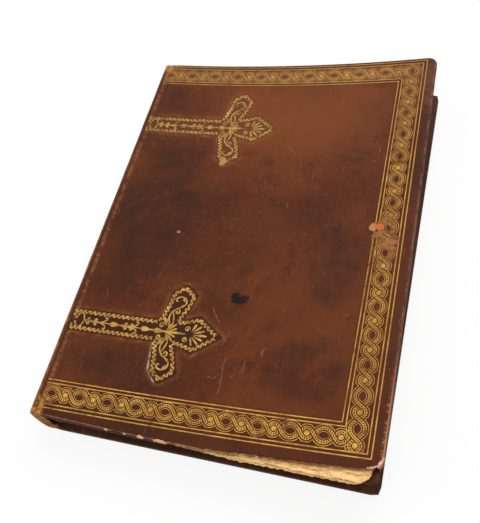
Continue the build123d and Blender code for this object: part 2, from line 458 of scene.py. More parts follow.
fibres = bmesh.new()
laid_bare, = own_values(fibres, "laid_bare")
for i in range(fibre_count):
    x = tear_x + (fore_x - 12.0 * mm - tear_x) * (i + 0.5) / fibre_count
    x += 0.9 * mm * noise.noise((i * 1.7, 0, 5))
    bare_w = torn_edge(x) - front_tail(x)
    if bare_w < 1.0 * mm:
        continue
    down = min(0.9, max(0.1, 0.45 + 0.75 * noise.noise((i * 2.3, 4.0, 0))))
    y = torn_edge(x) - bare_w * down
    length = (1.3 + 1.6 * noise.noise((i * 3.1, 1.0, 0))) * mm
    hair = bmesh.ops.create_cone(
        fibres, cap_ends=True, segments=5, radius1=0.16 * mm, radius2=0.03 * mm, depth=max(length, 0.6 * mm)
    )["verts"]
    lie = Matrix.Rotation(pi / 2 + 0.7 * noise.noise((i * 1.3, 8.0, 0)), 4, "X")
    swing = Matrix.Rotation(1.5 * noise.noise((i * 0.9, 0.0, 6.0)), 4, "Z")
    at = Matrix.Translation((x, y, front_height(x, y) - board_depth - down * 2.0 * mm))
    bmesh.ops.transform(fibres, matrix=at @ swing @ lie, verts=hair)
    for v in hair:
        v[laid_bare] = 1.0
bmesh.ops.recalc_face_normals(fibres, faces=fibres.faces)
loose_fibres = add_piece("front_board_fibres", fibres, pulp)
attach(loose_fibres, "front_cover")

# Leather of the covers: brown calf, pared at the edges, drawn over the boards and turned in.
# The front is tooled in gold with a twisted roll between fillets, and has two pressed straps;
# it is scuffed, stained, and torn away along half of its tail edge. The back is plain.
leather_t = 0.62 * mm
edge_r = 1.7 * mm          # leather rounds over the edge of a board
cover_t = 4.8 * mm
turn_in = 14.0 * mm
mitre_lap = 1.2 * mm       # the turn-ins overlap a little at the corners
joint_side_x = -86.0 * mm  # nearer the spine, the leather belongs to a joint
roll_fore, roll_head, roll_tail = 80.5, 123.0, -117.4   # middle lines of the roll, in millimetres
roll_repeat = 16.8
fillet_lines = (-7.7, -5.7, 6.35, 8.45)   # gold lines beside the roll, from its middle line
bead_pitch = 1.36
strap_ys = (77.6, -72.0)   # middle lines of the two straps
press_depth = 0.4 * mm
strap_start_x = -92.0
strap_end_x, strap_arm = 3.0, 33.0   # no strap reaches past these
strap_half = (
    (strap_start_x, 7.2), (-38.8, 7.2), (-37.0, 12.0), (-36.2, 18.0), (-35.6, 25.5), (-28.1, 31.2),
    (-19.2, 24.6), (-21.2, 17.5), (-24.6, 8.0), (-14.8, 12.2), (1.3, 0.0),
)


def pressed(x, y, slope=1.5):
    """1 inside a pressed strap, 0 past its sloping edge; x, y and slope in millimetres."""
    for strap_y in strap_ys:
        dy = abs(y - strap_y)
        if x > strap_end_x or dy > strap_arm:
            continue
        nearest = 99.0
        inside = False
        for (x0, y0), (x1, y1) in zip(strap_half, strap_half[1:]):
            run, rise = x1 - x0, y1 - y0
            share = max(0.0, min(1.0, ((x - x0) * run + (dy - y0) * rise) / (run * run + rise * rise)))
            nearest = min(nearest, hypot(x - x0 - run * share, dy - y0 - rise * share))
        for (x0, y0), (x1, y1) in zip(strap_half, strap_half[1:] + ((strap_start_x, 0.0),)):
            if (y0 > dy) != (y1 > dy) and x < x0 + (dy - y0) * (x1 - x0) / (y1 - y0):
                inside = not inside
        if not inside and x > strap_start_x and dy < 1e-6:
            inside = x < strap_half[-1][0]
        depth = max(-1.0, min(1.0, (nearest if inside else -nearest) / slope))
        return 0.5 + 0.5 * depth * (1.5 - 0.5 * depth * depth)
    return 0.0


# The leather over the edge of a board: how far out, how deep, and how far along the sheet
edge_turns = (pi / 8, pi / 4, pi * 3 / 8, pi / 2)
edge_fold = [(edge_r * sin(a), edge_r * (1 - cos(a)), edge_r * a) for a in edge_turns]
edge_fold += [(edge_r, 2.6 * mm, edge_r + 2.0 * mm), (edge_r, 4.0 * mm, edge_r + 3.4 * mm)]


def grow_rim(sheet, rim):
    """Carries a sheet on past its rim; gives the new vertices and the new rim."""
    grown = bmesh.ops.extrude_edge_only(sheet, edges=rim)["geom"]
    fresh = {g for g in grown if isinstance(g, bmesh.types.BMVert)}
    return fresh, [g for g in grown if isinstance(g, bmesh.types.BMEdge) and all(v in fresh for v in g.verts)]


def unfold(sheet, u_of, v_of):
    """Gives a sheet a flat map of itself, in metres."""
    flat = sheet.loops.layers.uv.new("sheet")
    for f in sheet.faces:
        for corner in f.loops:
            corner[flat].uv = (corner.vert[u_of], corner.vert[v_of])


def wrap_board(outer, plan, tail_of, torn_from, columns, rows):
    """A sheet of leather on the outer face of a board, carried round its edges and turned in."""
    sheet = bmesh.new()
    bmesh.ops.create_grid(sheet, x_segments=columns, y_segments=rows, size=0.5)
    to_fore, to_head, u_of, v_of = own_values(sheet, "to_fore", "to_head", "u_of", "v_of")
    press, near, bare = own_values(sheet, "pressed", "by_strap", "frayed")

    def lay(v, past, depth, path):
        """Puts a vertex on the board: how far past its flat face, how deep, how far along the sheet."""
        x, y, out = cover_point(v[to_fore], v[to_head], joint_side_x, edge_r, *plan[:2], tail_of, plan[2])
        at_tail = v[to_head] < 0.001 and v[to_fore] < 0.999
        if torn_from is not None and x > torn_from and at_tail:
            kept = max(0.0, min(edge_r, tail_of(x) + edge_r - torn_edge(x)))
            angle = min(asin(kept / edge_r), path / edge_r)
            past, depth, path = edge_r * sin(angle), edge_r * (1 - cos(angle)), edge_r * angle
            v[bare] = 1.0
        elif past < 0:
            up_edge = min(v[to_head], 1.0 - v[to_head]) * 2 * head_y
            along_edge = (1.0 - v[to_fore]) * (fore_x - joint_x)
            past = max(past, -(up_edge if v[to_fore] > 0.999 else along_edge) - mitre_lap)
            depth -= 0.0 if v[to_fore] > 0.999 else 0.06 * mm
        v[u_of] = x + out.x * path
        v[v_of] = y + out.y * path
        x += out.x * past
        y += out.y * past
        v.co = (x, y, outer(x, y, depth))

    for v in sheet.verts:
        v[to_fore] = v.co.x + 0.5
        v[to_head] = v.co.y + 0.5
        lay(v, 0.0, 0.0, 0.0)
        if torn_from is not None:
            v[press] = pressed(v.co.x / mm, v.co.y / mm)
            v[near] = pressed(v.co.x / mm, v.co.y / mm, 6.0)
            v[bare] = 0.0 if v.co.x < torn_from else max(0.0, 1.0 - (v.co.y - torn_edge(v.co.x)) / (2.4 * mm))
            v.co.z -= press_depth * v[press]

    rim = [e for e in sheet.edges if e.is_boundary and any(v[to_fore] > 0.001 for v in e.verts)]
    turned_in = [
        (edge_r - 0.25 * mm, 4.55 * mm, edge_r + 4.0 * mm), (edge_r - 0.8 * mm, cover_t, edge_r + 4.6 * mm),
        (edge_r - 6.0 * mm, cover_t, edge_r + 9.0 * mm), (edge_r - turn_in, cover_t, edge_r + 18.0 * mm),
    ]
    for past, depth, path in edge_fold + turned_in:
        fresh, rim = grow_rim(sheet, rim)
        for v in fresh:
            lay(v, past, depth, path)
            v[press] = 0.0
    bmesh.ops.remove_doubles(sheet, verts=sheet.verts, dist=0.002 * mm)
    bmesh.ops.recalc_face_normals(sheet, faces=sheet.faces)
    unfold(sheet, u_of, v_of)
    return sheet


def twisted_roll(a, b):
    """Gold of the roll: two beaded strands that cross; a runs along it and b across, in millimetres."""
    turn = a * (2.0 * pi / roll_repeat)
    slope = turn.math("SINE") * 3.2 - (turn * 2.0).math("SINE") * 0.6
    steep = (slope * slope * 0.14 + 1.0).math("SQRT")
    middle = turn.math("COSINE") * 3.2 - (turn * 2.0).math("COSINE") * 0.3 + 0.7
    upper = middle * turn.math("SINE").math("SIGN")
    run = (a * 1.29 - (turn * 2.0).math("SINE") * 0.35) / bead_pitch
    bead = (run - run.math("FLOOR") - 0.5) * bead_pitch

    def strand(off):
        """Gold of one strand, with its dark beads."""
        return off.fade(0.86, 0.72) * (bead * bead + off * off).fade(0.16, 0.26)

    off_upper = abs((b - upper) / steep)
    off_lower = abs((b + upper) / steep)
    outlines = off_upper.fade(1.90, 1.76).over(off_lower.fade(1.90, 1.76)) * off_lower.fade(1.46, 1.58)
    under = strand(off_lower).over(outlines) * off_upper.fade(1.46, 1.58)
    from_dot = a / roll_repeat
    from_dot = (from_dot - from_dot.math("FLOOR") - 0.5) * roll_repeat
    dot = (from_dot * from_dot + b * b).fade(2.0, 1.5)
    return strand(off_upper).over(under).over(dot) * abs(b).fade(5.8, 5.6)


def spot(u, v, at_u, at_v, wide, tall):
    """Squared distance from a spot's middle; 1 on its rim."""
    across = (u - at_u) / wide
    along = (v - at_v) / tall
    return across * across + along * along


def crack(u, v, wander, width, *lines):
    """Fine lines from one point of the sheet to another, in millimetres."""
    drawn = []
    for u0, v0, u1, v1 in lines:
        length = hypot(u1 - u0, v1 - v0)
        du, dv = (u1 - u0) / length, (v1 - v0) / length
        along = ((u - u0) * du + (v - v0) * dv) / length
        across = (u - u0) * dv - (v - v0) * du + wander
        drawn.append(abs(across).fade(width, width * 0.3) * abs(along - 0.5).fade(0.52, 0.42))
    return reduce(Tint.over, drawn)


def aged_front(colour, u, v, middle, fine, hurt):
    """The front cover's leather under its gold: clouds, painted sheen, pressed straps, scars and spots."""
    wander = (hurt - 0.5) * 3.0
    # Painted sheen: a broad lighter, warmer patch over the upper cover, where the light from behind falls.
    # Then a rub by the fore corner of the head.
    sheen_and_rub = spot(u, v, 10.0, 95.0, 75.0, 50.0).fade(1.0, 0.0)
    colour = sheen_and_rub.stain(colour, 0.45, 132, 72, 34)
    sheen_and_rub = spot(u, v, 92.0, 112.0, 6.0, 26.0).fade(1.0, 0.2) * hurt.fade(0.3, 0.6)
    colour = sheen_and_rub.stain(colour, 0.5, 150, 96, 72)
    dark = spot(u, v, -62.0, 10.0, 34.0, 66.0).fade(1.0, 0.1)
    for patch in ((-76, 100, 10, 12), (52, -84, 30, 22), (54, -22, 22, 36), (-64, -95, 28, 14)):
        dark = dark.over(spot(u, v, *patch).fade(1.0, 0.0) * 0.75)
    colour = (dark * middle.fade(0.25, 0.6)).stain(colour, 0.7, 48, 26, 17)

    upper = v.fade(0.0, 10.0)
    sunk = u.own("pressed")
    colour = (sunk.fade(0.2, 1.0) * (0.8 - upper * 0.34)).mix(colour, shade(50, 25, 19))
    colour = (sunk * upper).stain(colour, 0.22, 136, 92, 50)
    # Lighter leather beside each strap and on its sloping rim: rubbed, and partly a painted highlight.
    beside_rub_and_highlight = u.own("by_strap").fade(0.05, 0.45) * sunk.fade(0.3, 0.0)
    colour = (beside_rub_and_highlight * hurt.fade(0.3, 0.6)).stain(colour, 0.32, 146, 84, 46)
    rim = sunk.fade(0.0, 0.2) * sunk.fade(0.6, 0.25)
    colour = (rim * hurt.fade(0.40, 0.68)).stain(colour, 0.5, 152, 92, 54)
    bald = (spot(u, v, -29.6, 50.2, 2.5, 4.2) + wander).fade(1.3, 0.2)
    colour = bald.stain(colour, 0.8, 192, 146, 84)

    cracks = crack(
        u, v, wander, 0.4, (3.6, -67.2, 2.0, -76.8), (5.2, -80.3, 6.6, -104.0), (-1.8, -94.6, 1.9, -95.8),
        (1.9, -95.8, 4.5, -92.6), (10.8, -93.5, 13.5, -90.9), (9.5, 64.0, 16.5, 58.0),
        (-9.0, -54.0, -3.5, -63.0),
    )
    colour = (cracks * fine.fade(0.3, 0.6)).stain(colour, 0.45, 168, 118, 88)
    raised = crack(u, v, wander * 0.4, 0.7, (-38.6, -79.0, -36.2, -96.3), (-36.2, -96.0, -30.4, -102.4))
    colour = (raised * fine.fade(0.3, 0.6)).stain(colour, 0.75, 196, 168, 150)

    from_roll = (u - roll_fore).over(v - roll_head).over(roll_tail - v)
    colour = from_roll.fade(-9.5, -7.5).stain(colour, 0.45, 56, 26, 18)
    haze = abs(from_roll).fade(6.4, 5.6) * v.fade(50.0, 122.0)
    colour = haze.stain(colour, 0.27, 134, 92, 54)
    scuff = spot(u, v, 79.5, -2.0, 9.0, 19.0).fade(1.0, 0.35)
    colour = (scuff * hurt.fade(0.44, 0.56)).stain(colour, 0.7, 172, 112, 62)
    blot = (spot(u, v, 4.6, -46.4, 5.2, 3.8) + wander * 1.6).fade(1.05, 0.6)
    colour = (blot * 0.95).mix(colour, fine.fade(0.45, 0.7).mix(shade(15, 12, 10), shade(38, 27, 19)))
    bald = (spot(u, v, 71.6, 5.4, 2.2, 2.8) + wander).fade(1.0, 0.5)
    colour = bald.mix(colour, shade(178, 128, 76))
    wax = (spot(u, v, 75.0, 5.8, 3.0, 2.2) + wander * 0.5).fade(1.0, 0.6)
    colour = wax.mix(colour, shade(196, 98, 42))
    colour = spot(u, v, -44.0, -6.0, 1.4, 1.2).fade(1.0, 0.4).stain(colour, 0.8, 176, 122, 76)
    torn = u.own("frayed").fade(0.84, 1.0) * hurt.fade(0.36, 0.6)
    return torn.mix(colour, shade(170, 116, 70)), from_roll, scuff


def roll_and_fillets(u, v, hurt, from_roll, scuff):
    """Where gold is left: the roll along three sides, between double fillets, less what has rubbed off."""
    fillet = reduce(Tint.over, [abs(from_roll - line).fade(0.38, 0.22) for line in fillet_lines])
    lengthwise = twisted_roll(v - roll_head, u - roll_fore)
    lengthwise = lengthwise * (v + 123.5).fade(0.0, 0.5) * v.fade(129.0, 128.7)
    at_head = v.fade(-1.0, 1.0)
    level = at_head * (v - roll_head) + (1.0 - at_head) * (v - roll_tail)
    crosswise = twisted_roll(u - roll_fore + (1.0 - at_head) * 15.4, level)
    crosswise = crosswise * u.fade(77.5, 77.0) * abs(v).fade(100.0, 104.0)
    worn = hurt.fade(0.60, 0.74).over(scuff * hurt.fade(0.40, 0.52))
    worn = worn.over(u.fade(-86.0, -93.0) * hurt.fade(0.4, 0.6))
    return lengthwise.over(crosswise).over(fillet) * (1.0 - worn * 0.85)


def rubbed_front(colour, u, v, tail, place, fine, hurt):
    """Front edges: rubbed ridges, the torn corner's curl, painted shade on the tail wall, and tail chips."""
    wander = (hurt - 0.5) * 3.0
    low_fore = v.fade(-60.0, -118.0)
    stitch = place.stretch(60.0, 1100.0, 60.0).cloud(1.0, 2.0).fade(0.44, 0.58)
    ridge = abs(u - 94.5).fade(0.8, 0.2) * hurt.fade(0.40 - low_fore * 0.2, 0.56 - low_fore * 0.2)
    ridge = ridge.over(low_fore * abs(u - 93.7).fade(1.3, 0.5) * stitch * fine.fade(0.4, 0.6))
    suede_pink = low_fore.mix(shade(164, 108, 86), shade(194, 128, 88))
    colour = (ridge * (low_fore * 0.35 + 0.5)).mix(colour, suede_pink)
    curl = crack(u, v, wander, 0.9, (87.5, -130.3, 92.7, -129.0))
    curl = curl.over(crack(u, v, wander, 1.1, (92.5, -129.4, 94.9, -124.0)))
    colour = (curl * 0.9).mix(colour, fine.fade(0.35, 0.6).mix(shade(180, 110, 78), shade(236, 200, 178)))
    ridge = abs(tail - 0.6).fade(0.5, 0.1) * hurt.fade(0.34, 0.52) * u.fade(-6.0, -14.0)
    colour = ridge.stain(colour, 0.6, 184, 128, 100)
    # Painted shade on the wall below the tail ridge, which faces down and away from the lamps.
    colour = tail.fade(-0.7, -2.2).stain(colour, 0.75, 36, 29, 20)
    for chip_u, wide, tall in ((-48.6, 1.3, 0.7), (-37.4, 1.1, 0.5), (-28.5, 2.4, 1.0), (-17.5, 4.0, 1.1)):
        chip = (spot(u, tail, chip_u, 0.1, wide, tall) + (fine - 0.5) * 5.0).fade(1.2, 0.8)
        colour = chip.mix(colour, shade(228, 184, 122))
    rub = abs(u + 90.6).fade(2.8, 0.8) * hurt.fade(0.36, 0.60) * fine.fade(0.3, 0.6)
    return rub.stain(colour, 0.6, 152, 98, 70)


def calf(name, tooled, grime_and_shade):
    """Brown calf: mottled, rubbed, grimy with some painted shade; the front cover's carries gold tooling."""
    material, shader, place = new_finish(name)
    x, y = place.part(0), place.part(1)
    broad = place.cloud(17.0, 5.0)
    middle = place.cloud(64.0, 6.0, 0.62)
    fine = place.cloud(420.0, 4.0, 0.65)
    hurt = place.cloud(170.0, 5.0, 0.7)
    colour = broad.fade(0.34, 0.68).mix(shade(74, 35, 16), shade(101, 50, 22))
    colour = middle.fade(0.46, 0.74).stain(colour, 0.7, 56, 28, 15)
    colour = fine.fade(0.5, 0.8).stain(colour, 0.4, 126, 68, 35)
    # Grime mixed with painted shade: the plain calf of the back cover, in the shade of the front one, darkens
    # most.
    colour = hurt.fade(0.25, 0.6).stain(colour, grime_and_shade, 40, 29, 18)
    rough = fine * 0.2 + 0.42
    height = fine * 0.6 + place.cloud(1500.0, 2.0) * 0.5
    for angle, scale in ((0.7, 420.0), (-0.55, 520.0), (1.9, 460.0)):
        wants = {"Vector": place, "Rotation": (0.0, 0.0, angle), "Scale": (scale, 45.0, 45.0)}
        scratch = place.node("ShaderNodeMapping", {}, wants).cloud(1.0, 2.0).fade(0.68, 0.76)
        colour = (scratch * middle.fade(0.44, 0.58)).stain(colour, 0.45, 156, 98, 62)
    colour = place.cloud(520.0, 1.0).fade(0.76, 0.82).stain(colour, 0.6, 160, 104, 66)
    if tooled:
        sheet = place.node("ShaderNodeUVMap", {"uv_map": "sheet"}, {})
        u, v = sheet.part(0), sheet.part(1)
        tail = v - tail_y / mm + (u - joint_x / mm) * (tail_run / (fore_x - joint_x))
        colour, from_roll, scuff = aged_front(colour, u, v, middle, fine, hurt)
        gold = roll_and_fillets(u, v, hurt, from_roll, scuff)
        leaf = hurt.fade(0.35, 0.65).mix(shade(206, 160, 74), shade(162, 114, 50))
        leaf = v.fade(40.0, 125.0).stain(leaf, 0.55, 156, 113, 64)
        leaf = (u.fade(68.0, 72.0) * v.fade(-116.0, -100.0)).stain(leaf, 0.42, 138, 94, 42)
        colour = rubbed_front(gold.mix(colour, leaf), u, v, tail, place, fine, hurt)
        place.feed(shader, {"Metallic": gold * 0.5})
        rough = rough + tail.fade(-0.7, -2.2) * 0.35
        height = height - gold * 0.8
    suede = spot(x, y, -94.0, -132.0, 8.0, 15.0).fade(1.0, 0.35)
    suede = suede.over(spot(x, y, -91.5, 134.0, 9.0, 9.0).fade(1.0, 0.35))
    suede = suede.over(abs(x + 94.2).fade(1.3, 0.3) * 0.6) * hurt.fade(0.34, 0.54)
    colour = (suede * 0.9).mix(colour, fine.fade(0.35, 0.65).mix(shade(142, 86, 42), shade(200, 142, 80)))
    rough = rough + suede * 0.35
    place.feed(shader, {"Base Color": colour, "Roughness": rough, "Specular IOR Level": 0.09})
    place.feed(shader, {"Normal": height.relief(0.22, 0.0003)})
    return material


def front_outer(x, y, depth):
    """Height in the front cover, at a depth under its outer face."""
    return front_height(x, y) - depth


def front_tail_worn(x):
    """Tail edge of the front leather, less its edge radius: whole by the spine, then torn."""
    return front_tail(x) if x < tear_x else max(front_tail(x), torn_edge(x) - edge_r)


tooled_calf = calf("tooled_calf", True, 0.0)
# The plain calf of the back takes the most grime and painted shade.
plain_calf = calf("plain_calf", False, 0.7)
front_plan = ((fore_x, fore_x), head_y, (5.0 * mm, bumped_r))
front_skin = wrap_board(front_outer, front_plan, front_tail_worn, tear_x, 150, 214)
front_leather = add_piece("front_cover_leather", front_skin, tooled_calf)
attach(front_leather, "front_cover")
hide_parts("front_leather")
thicken(front_leather, leather_t)

flap = bmesh.new()         # what is left of the turn-in under the torn stretch
flap_inset = 1.4 * mm
flap_plan = ((fore_x, fore_x), head_y, front_tail, (covered_r, covered_r))
bmesh.ops.create_grid(flap, x_segments=96, y_segments=8, size=0.5)
for v in flap.verts:
    s = v.co.x + 0.5
    t = (v.co.y + 0.5) * (turn_in - 1.1 * mm) / (2 * head_y)
    x, y = cover_point(s, t, tear_x - edge_r, flap_inset, *flap_plan)[:2]
    y += 0.5 * mm * noise.noise((x * 600, 0, 2.2)) * (0.5 - v.co.y)
    v.co = (x, y, front_height(x, y) - cover_t + 0.08 * mm)
bmesh.ops.reverse_faces(flap, faces=flap.faces)
torn_flap = add_piece("front_turn_in_calf", flap, plain_calf)
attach(torn_flap, "front_cover")
thicken(torn_flap, leather_t)


back_head_y = head_y - 1.5 * mm
back_tail_run = 3.9 * mm   # the back board runs out of square as well, at its tail and its fore-edge
back_fore_run = 2.0 * mm


def back_outer(x, y, depth):
    """Height in the back cover, whose outer face lies flat on the table."""
    return depth


def back_tail(x):
    """Tail edge of the back cover."""
    return tail_y - back_tail_run * (x - joint_x) / (fore_x - joint_x)


back_plan = ((fore_x - back_fore_run, fore_x + back_fore_run), back_head_y, (covered_r, covered_r))
back_skin = wrap_board(back_outer, back_plan, back_tail, None, 60, 90)
back_leather = add_piece("back_cover_leather", back_skin, plain_calf)
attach(back_leather, "back_cover")
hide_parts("back_leather")
thicken(back_leather, leather_t)

# Spine and joints: one piece of the same calf runs from cover to cover over the rounded back.
# It is creased where the boards swing, rubbed to bare suede at both ends, and turned in over
# the headbands there. Its front joint carries on the straps and the roll.
spine_low, spine_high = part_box("spine_leather")
middle_z = (spine_low.z + spine_high.z) / 2
half_z = (spine_high.z - spine_low.z) / 2
spine_end_x = -91.2 * mm
spine_deep = 3.7 * mm      # how far the spine stands out at the head
tail_deeper = 1.9 * mm     # and how much more at the tail
spine_swell = 0.7 * mm
spine_dent = 0.2 * mm
cap_in = 3.6 * mm          # turned-in leather over each headband
cap_x = -88.6 * mm


def spine_point(share, y):
    """The outside of the spine, from the back joint (0) to the front joint (1); it swells at the tail."""
    angle = pi * (share - 0.5)
    lift = abs(sin(angle)) ** 0.55 * (1 if share > 0.5 else -1)
    deep = spine_deep + tail_deeper * (head_y - y) / (2 * head_y)
    swell = spine_swell * (1.0 - lift * lift)
    x = spine_end_x - (deep + swell) * max(0.0, cos(angle)) ** 0.5
    dent = spine_dent * noise.noise((y * 70, share * 3, 0))
    return x + dent, middle_z + half_z * lift


spine = bmesh.new()
bmesh.ops.create_grid(spine, x_segments=28, y_segments=130, size=0.5)
for v in spine.verts:
    y = spine_low.y + (spine_high.y - spine_low.y) * (v.co.y + 0.5)
    x, z = spine_point(v.co.x + 0.5, y)
    v.co = (x, y, z)
for end, at_y in ((-1, spine_low.y), (1, spine_high.y)):
    rim = [e for e in spine.edges if e.is_boundary and all(abs(v.co.y - at_y) < 1e-6 for v in e.verts)]
    for past, inward in ((0.55, 0.5), (0.75, 1.2), (0.55, 2.2), (0.1, cap_in / mm)):
        fresh, rim = grow_rim(spine, rim)
        for v in fresh:
            x = v.co.x + (cap_x - v.co.x) * min(1.0, inward / (cap_in / mm)) * 0.75
            z = middle_z + (v.co.z - middle_z) * (1.0 - min(0.1, inward * mm / half_z))
            v.co = (x, at_y + end * past * mm, z)
bmesh.ops.recalc_face_normals(spine, faces=spine.faces)
if sum(f.normal.x for f in spine.faces) > 0:
    bmesh.ops.reverse_faces(spine, faces=spine.faces)
rubbed_calf = calf("rubbed_calf", False, 0.15)
spine_piece = add_piece("spine_calf", spine, rubbed_calf)
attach(spine_piece, "page_block")
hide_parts("spine_leather")
thicken(spine_piece, leather_t)

joint_fold = 0.22 * mm     # depth of the crease along a joint
lap = 0.4 * mm             # the joint runs on a little under the leather of the cover


def joint_height(x, spine_z, cover_z, inside):
    """The outer face of a joint, from the spine over the crease to the cover."""
    share = (x - spine_end_x) / (joint_side_x - spine_end_x)
    ease = min(1.0, share * share * (3 - 2 * share)) if share < 1 else 1.0
    crease = max(0.0, 1.0 - abs(x - joint_x) / (2.0 * mm))
    sunk = joint_fold * crease * crease * (3 - 2 * crease) + (0.03 * mm if share > 1 else 0.0)
    return spine_z + (cover_z - spine_z) * ease + inside * sunk


def front_joint_height(x, y):
    """The outer face of the front joint, with the ends of the straps pressed in."""
    return joint_height(x, spine_high.z, front_height(x, y), -1.0) - press_depth * pressed(x / mm, y / mm)


def back_joint_height(x, y):
    """The outer face of the back joint, above the table."""
    return joint_height(x, spine_low.z, 0.0, 1.0)


for name, body, height_of, tail_of, top, material in (
    ("front_joint_calf", "front_cover", front_joint_height, front_tail, head_y, tooled_calf),
    ("back_joint_calf", "back_cover", back_joint_height, back_tail, back_head_y, plain_calf),
):
    strip = bmesh.new()
    bmesh.ops.create_grid(strip, x_segments=18, y_segments=190, size=0.5)
    press, from_spine, end_y, outer_z = own_values(strip, "pressed", "from_spine", "end_y", "outer_z")
    u_of, v_of = own_values(strip, "u_of", "v_of")
    inside = -1.0 if body == "front_cover" else 1.0
    ends = {-1: [], 1: []}
    for e in strip.edges:
        if e.is_boundary and abs(sum(v.co.y for v in e.verts)) > 0.999:
            ends[-1 if e.verts[0].co.y < 0 else 1].append(e)
    for v in strip.verts:
        share, length = v.co.x + 0.5, v.co.y + 0.5
        x = spine_end_x + (joint_side_x + lap - spine_end_x) * share
        y0 = spine_low.y + (tail_of(x) + edge_r - spine_low.y) * share
        y1 = spine_high.y + (top - edge_r - spine_high.y) * share
        y = y0 + (y1 - y0) * length
        v[press] = pressed(x / mm, y / mm)
        v.co = (x, y, height_of(x, y))
        v[from_spine], v[end_y], v[outer_z] = share, y, v.co.z
        v[u_of], v[v_of] = x, y
    tucked = [
        (edge_r - 0.8 * mm, cover_t, edge_r + 4.6 * mm), (edge_r - 3.2 * mm, cover_t, edge_r + 7.0 * mm),
    ]
    for end, rim in ends.items():
        for past, depth, path in edge_fold + tucked:
            fresh, rim = grow_rim(strip, rim)
            for v in fresh:
                v[v_of] = v[end_y] + end * path
                v.co.y = v[end_y] + end * past * (0.4 + 0.6 * v[from_spine])
                v.co.z = v[outer_z] + inside * depth
    bmesh.ops.recalc_face_normals(strip, faces=strip.faces)
    if sum(f.normal.z for f in strip.faces) * inside > 0:
        bmesh.ops.reverse_faces(strip, faces=strip.faces)
    unfold(strip, u_of, v_of)
    made = add_piece(name, strip, material)
    thicken(made, leather_t)
    hinge_z = spine_high.z if body == "front_cover" else spine_low.z
    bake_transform(made)

# Pastedowns: a leaf of plain endpaper pasted inside each board, over the ends of the turn-ins.
# It has toned with age, and is foxed where damp has reached it.
endpaper = aged_sheet("endpaper")
for node_name in ("front_pastedown", "back_pastedown"):
    dress(node_name, endpaper)

# Endpaper fold: the back pastedown is one half of a folded sheet, and the lowest leaf is the other.
# The fold crosses the joint into the gutter.
fold_x = -86.9 * mm
fold_run = 1.0 * mm
fold_t = 0.06 * mm
paste_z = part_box("back_pastedown")[1].z
fold = bmesh.new()
bmesh.ops.create_grid(fold, x_segments=20, y_segments=24, size=0.5)
for v in fold.verts:
    turn = v.co.x + 0.5    # 0 on the pastedown, 1 on the leaf
    rise = (leaf_floor - paste_z - 2 * fold_t) * (0.5 - 0.5 * cos(pi * turn))
    y = leaf_low.y + (leaf_high.y - leaf_low.y) * (0.5 + 0.99 * v.co.y)
    v.co = (fold_x + fold_run * (1 - sin(pi * turn)), y, paste_z + fold_t + rise)
gutter = add_piece("back_endpaper_fold", fold, endpaper)
thicken(gutter, fold_t)
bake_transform(gutter)

# Gold on the straps: small hand tools struck through gold leaf into the pressed leather.
# Waved ropes edge each strap; palmettes, scrolls and small flowers fill it.
foil = bmesh.new()


def stroke(points, width, tip=0.25, cuts=6):
    """A drawn line of foil, thick in the middle and thin at its ends."""
    path = [Vector(p) for p in points]
    fine = []
    for i in range(len(path) - 1):
        before = path[max(i - 1, 0)]
        a, b = path[i], path[i + 1]
        after = path[min(i + 2, len(path) - 1)]
        for k in range(cuts):
            t = k / cuts
            fine.append(
                0.5 * (2 * a + (b - before) * t + (2 * before - 5 * a + 4 * b - after) * t * t
                       + (3 * a - before - 3 * b + after) * t**3)
            )
    fine.append(path[-1])
    made = bmesh.ops.create_grid(foil, x_segments=len(fine) - 1, y_segments=1, size=0.5)["verts"]
    for v in made:
        share, hand = v.co.x + 0.5, 2 * v.co.y
        i = round(share * (len(fine) - 1))
        ahead = fine[min(i + 1, len(fine) - 1)] - fine[max(i - 1, 0)]
        side = Vector((-ahead.y, ahead.x)).normalized()
        half = width / 2 * (tip + (1 - tip) * min(1.0, 4 * share * (1 - share) * 1.6))
        v.co = (*(fine[i] + side * half * hand), 0)


def petal(x, y, angle, length, width):
    """A drop of foil that starts at a point and swells towards its round end."""
    made = bmesh.ops.create_circle(foil, cap_ends=True, segments=12, radius=0.5)["verts"]
    for v in made:
        reach = v.co.x + 0.5
        v.co = (reach * length, v.co.y * width * (0.35 + 0.85 * reach), 0)
    turn = Matrix.Rotation(angle, 4, "Z")
    bmesh.ops.transform(foil, matrix=Matrix.Translation((x, y, 0)) @ turn, verts=made)


def rope(points):
    """A waved line with a drop in each hollow, like the lay of a rope."""
    wave = []
    for (x0, y0), (x1, y1) in zip(points, points[1:]):
        run = Vector((x1 - x0, y1 - y0))
        side = Vector((-run.y, run.x)).normalized()
        lean = Vector((1, 0)).angle_signed(run)
        count = max(1, round(run.length / 2.9))
        for i in range(4 * count):
            swing = (0.0, 0.85, 0.0, -0.85)[i % 4]
            at = Vector((x0, y0)) + run * (i / (4 * count))
            wave.append(at + side * swing)
            if swing:
                hollow = at - side * swing * 0.75
                petal(hollow.x, hollow.y, -lean + (0.5 if swing > 0 else pi - 0.5), 1.15, 0.8)
    stroke(wave, 0.8, 0.8, 3)


def volute(x, y, radius, start, turns, hand, width):
    """A scroll that winds in towards its eye."""
    points = []
    for i in range(9):
        share = i / 8
        r = radius * (1 - 0.72 * share)
        a = start + hand * 2 * pi * turns * share
        points.append((x + r * cos(a), y + r * sin(a)))
    stroke(points, width)
    petal(x - 0.4, y, 0, 0.8, 0.8)


def half_palmette(x, y, side, gap, width, fronds):
    """Fronds that spread to one side of the middle line of a strap, each with its angle and length."""
    for angle, length in fronds:
        petal(x + cos(angle) * gap, y + side * sin(angle) * gap, side * angle, length, width)


def flower(x, y, size):
    """Three small lobes on the middle line of a strap."""
    for angle in (pi, pi / 2, -pi / 2):
        petal(x, y, angle, size, size)
    petal(x - 0.2, y, 0, size * 1.1, size * 0.6)


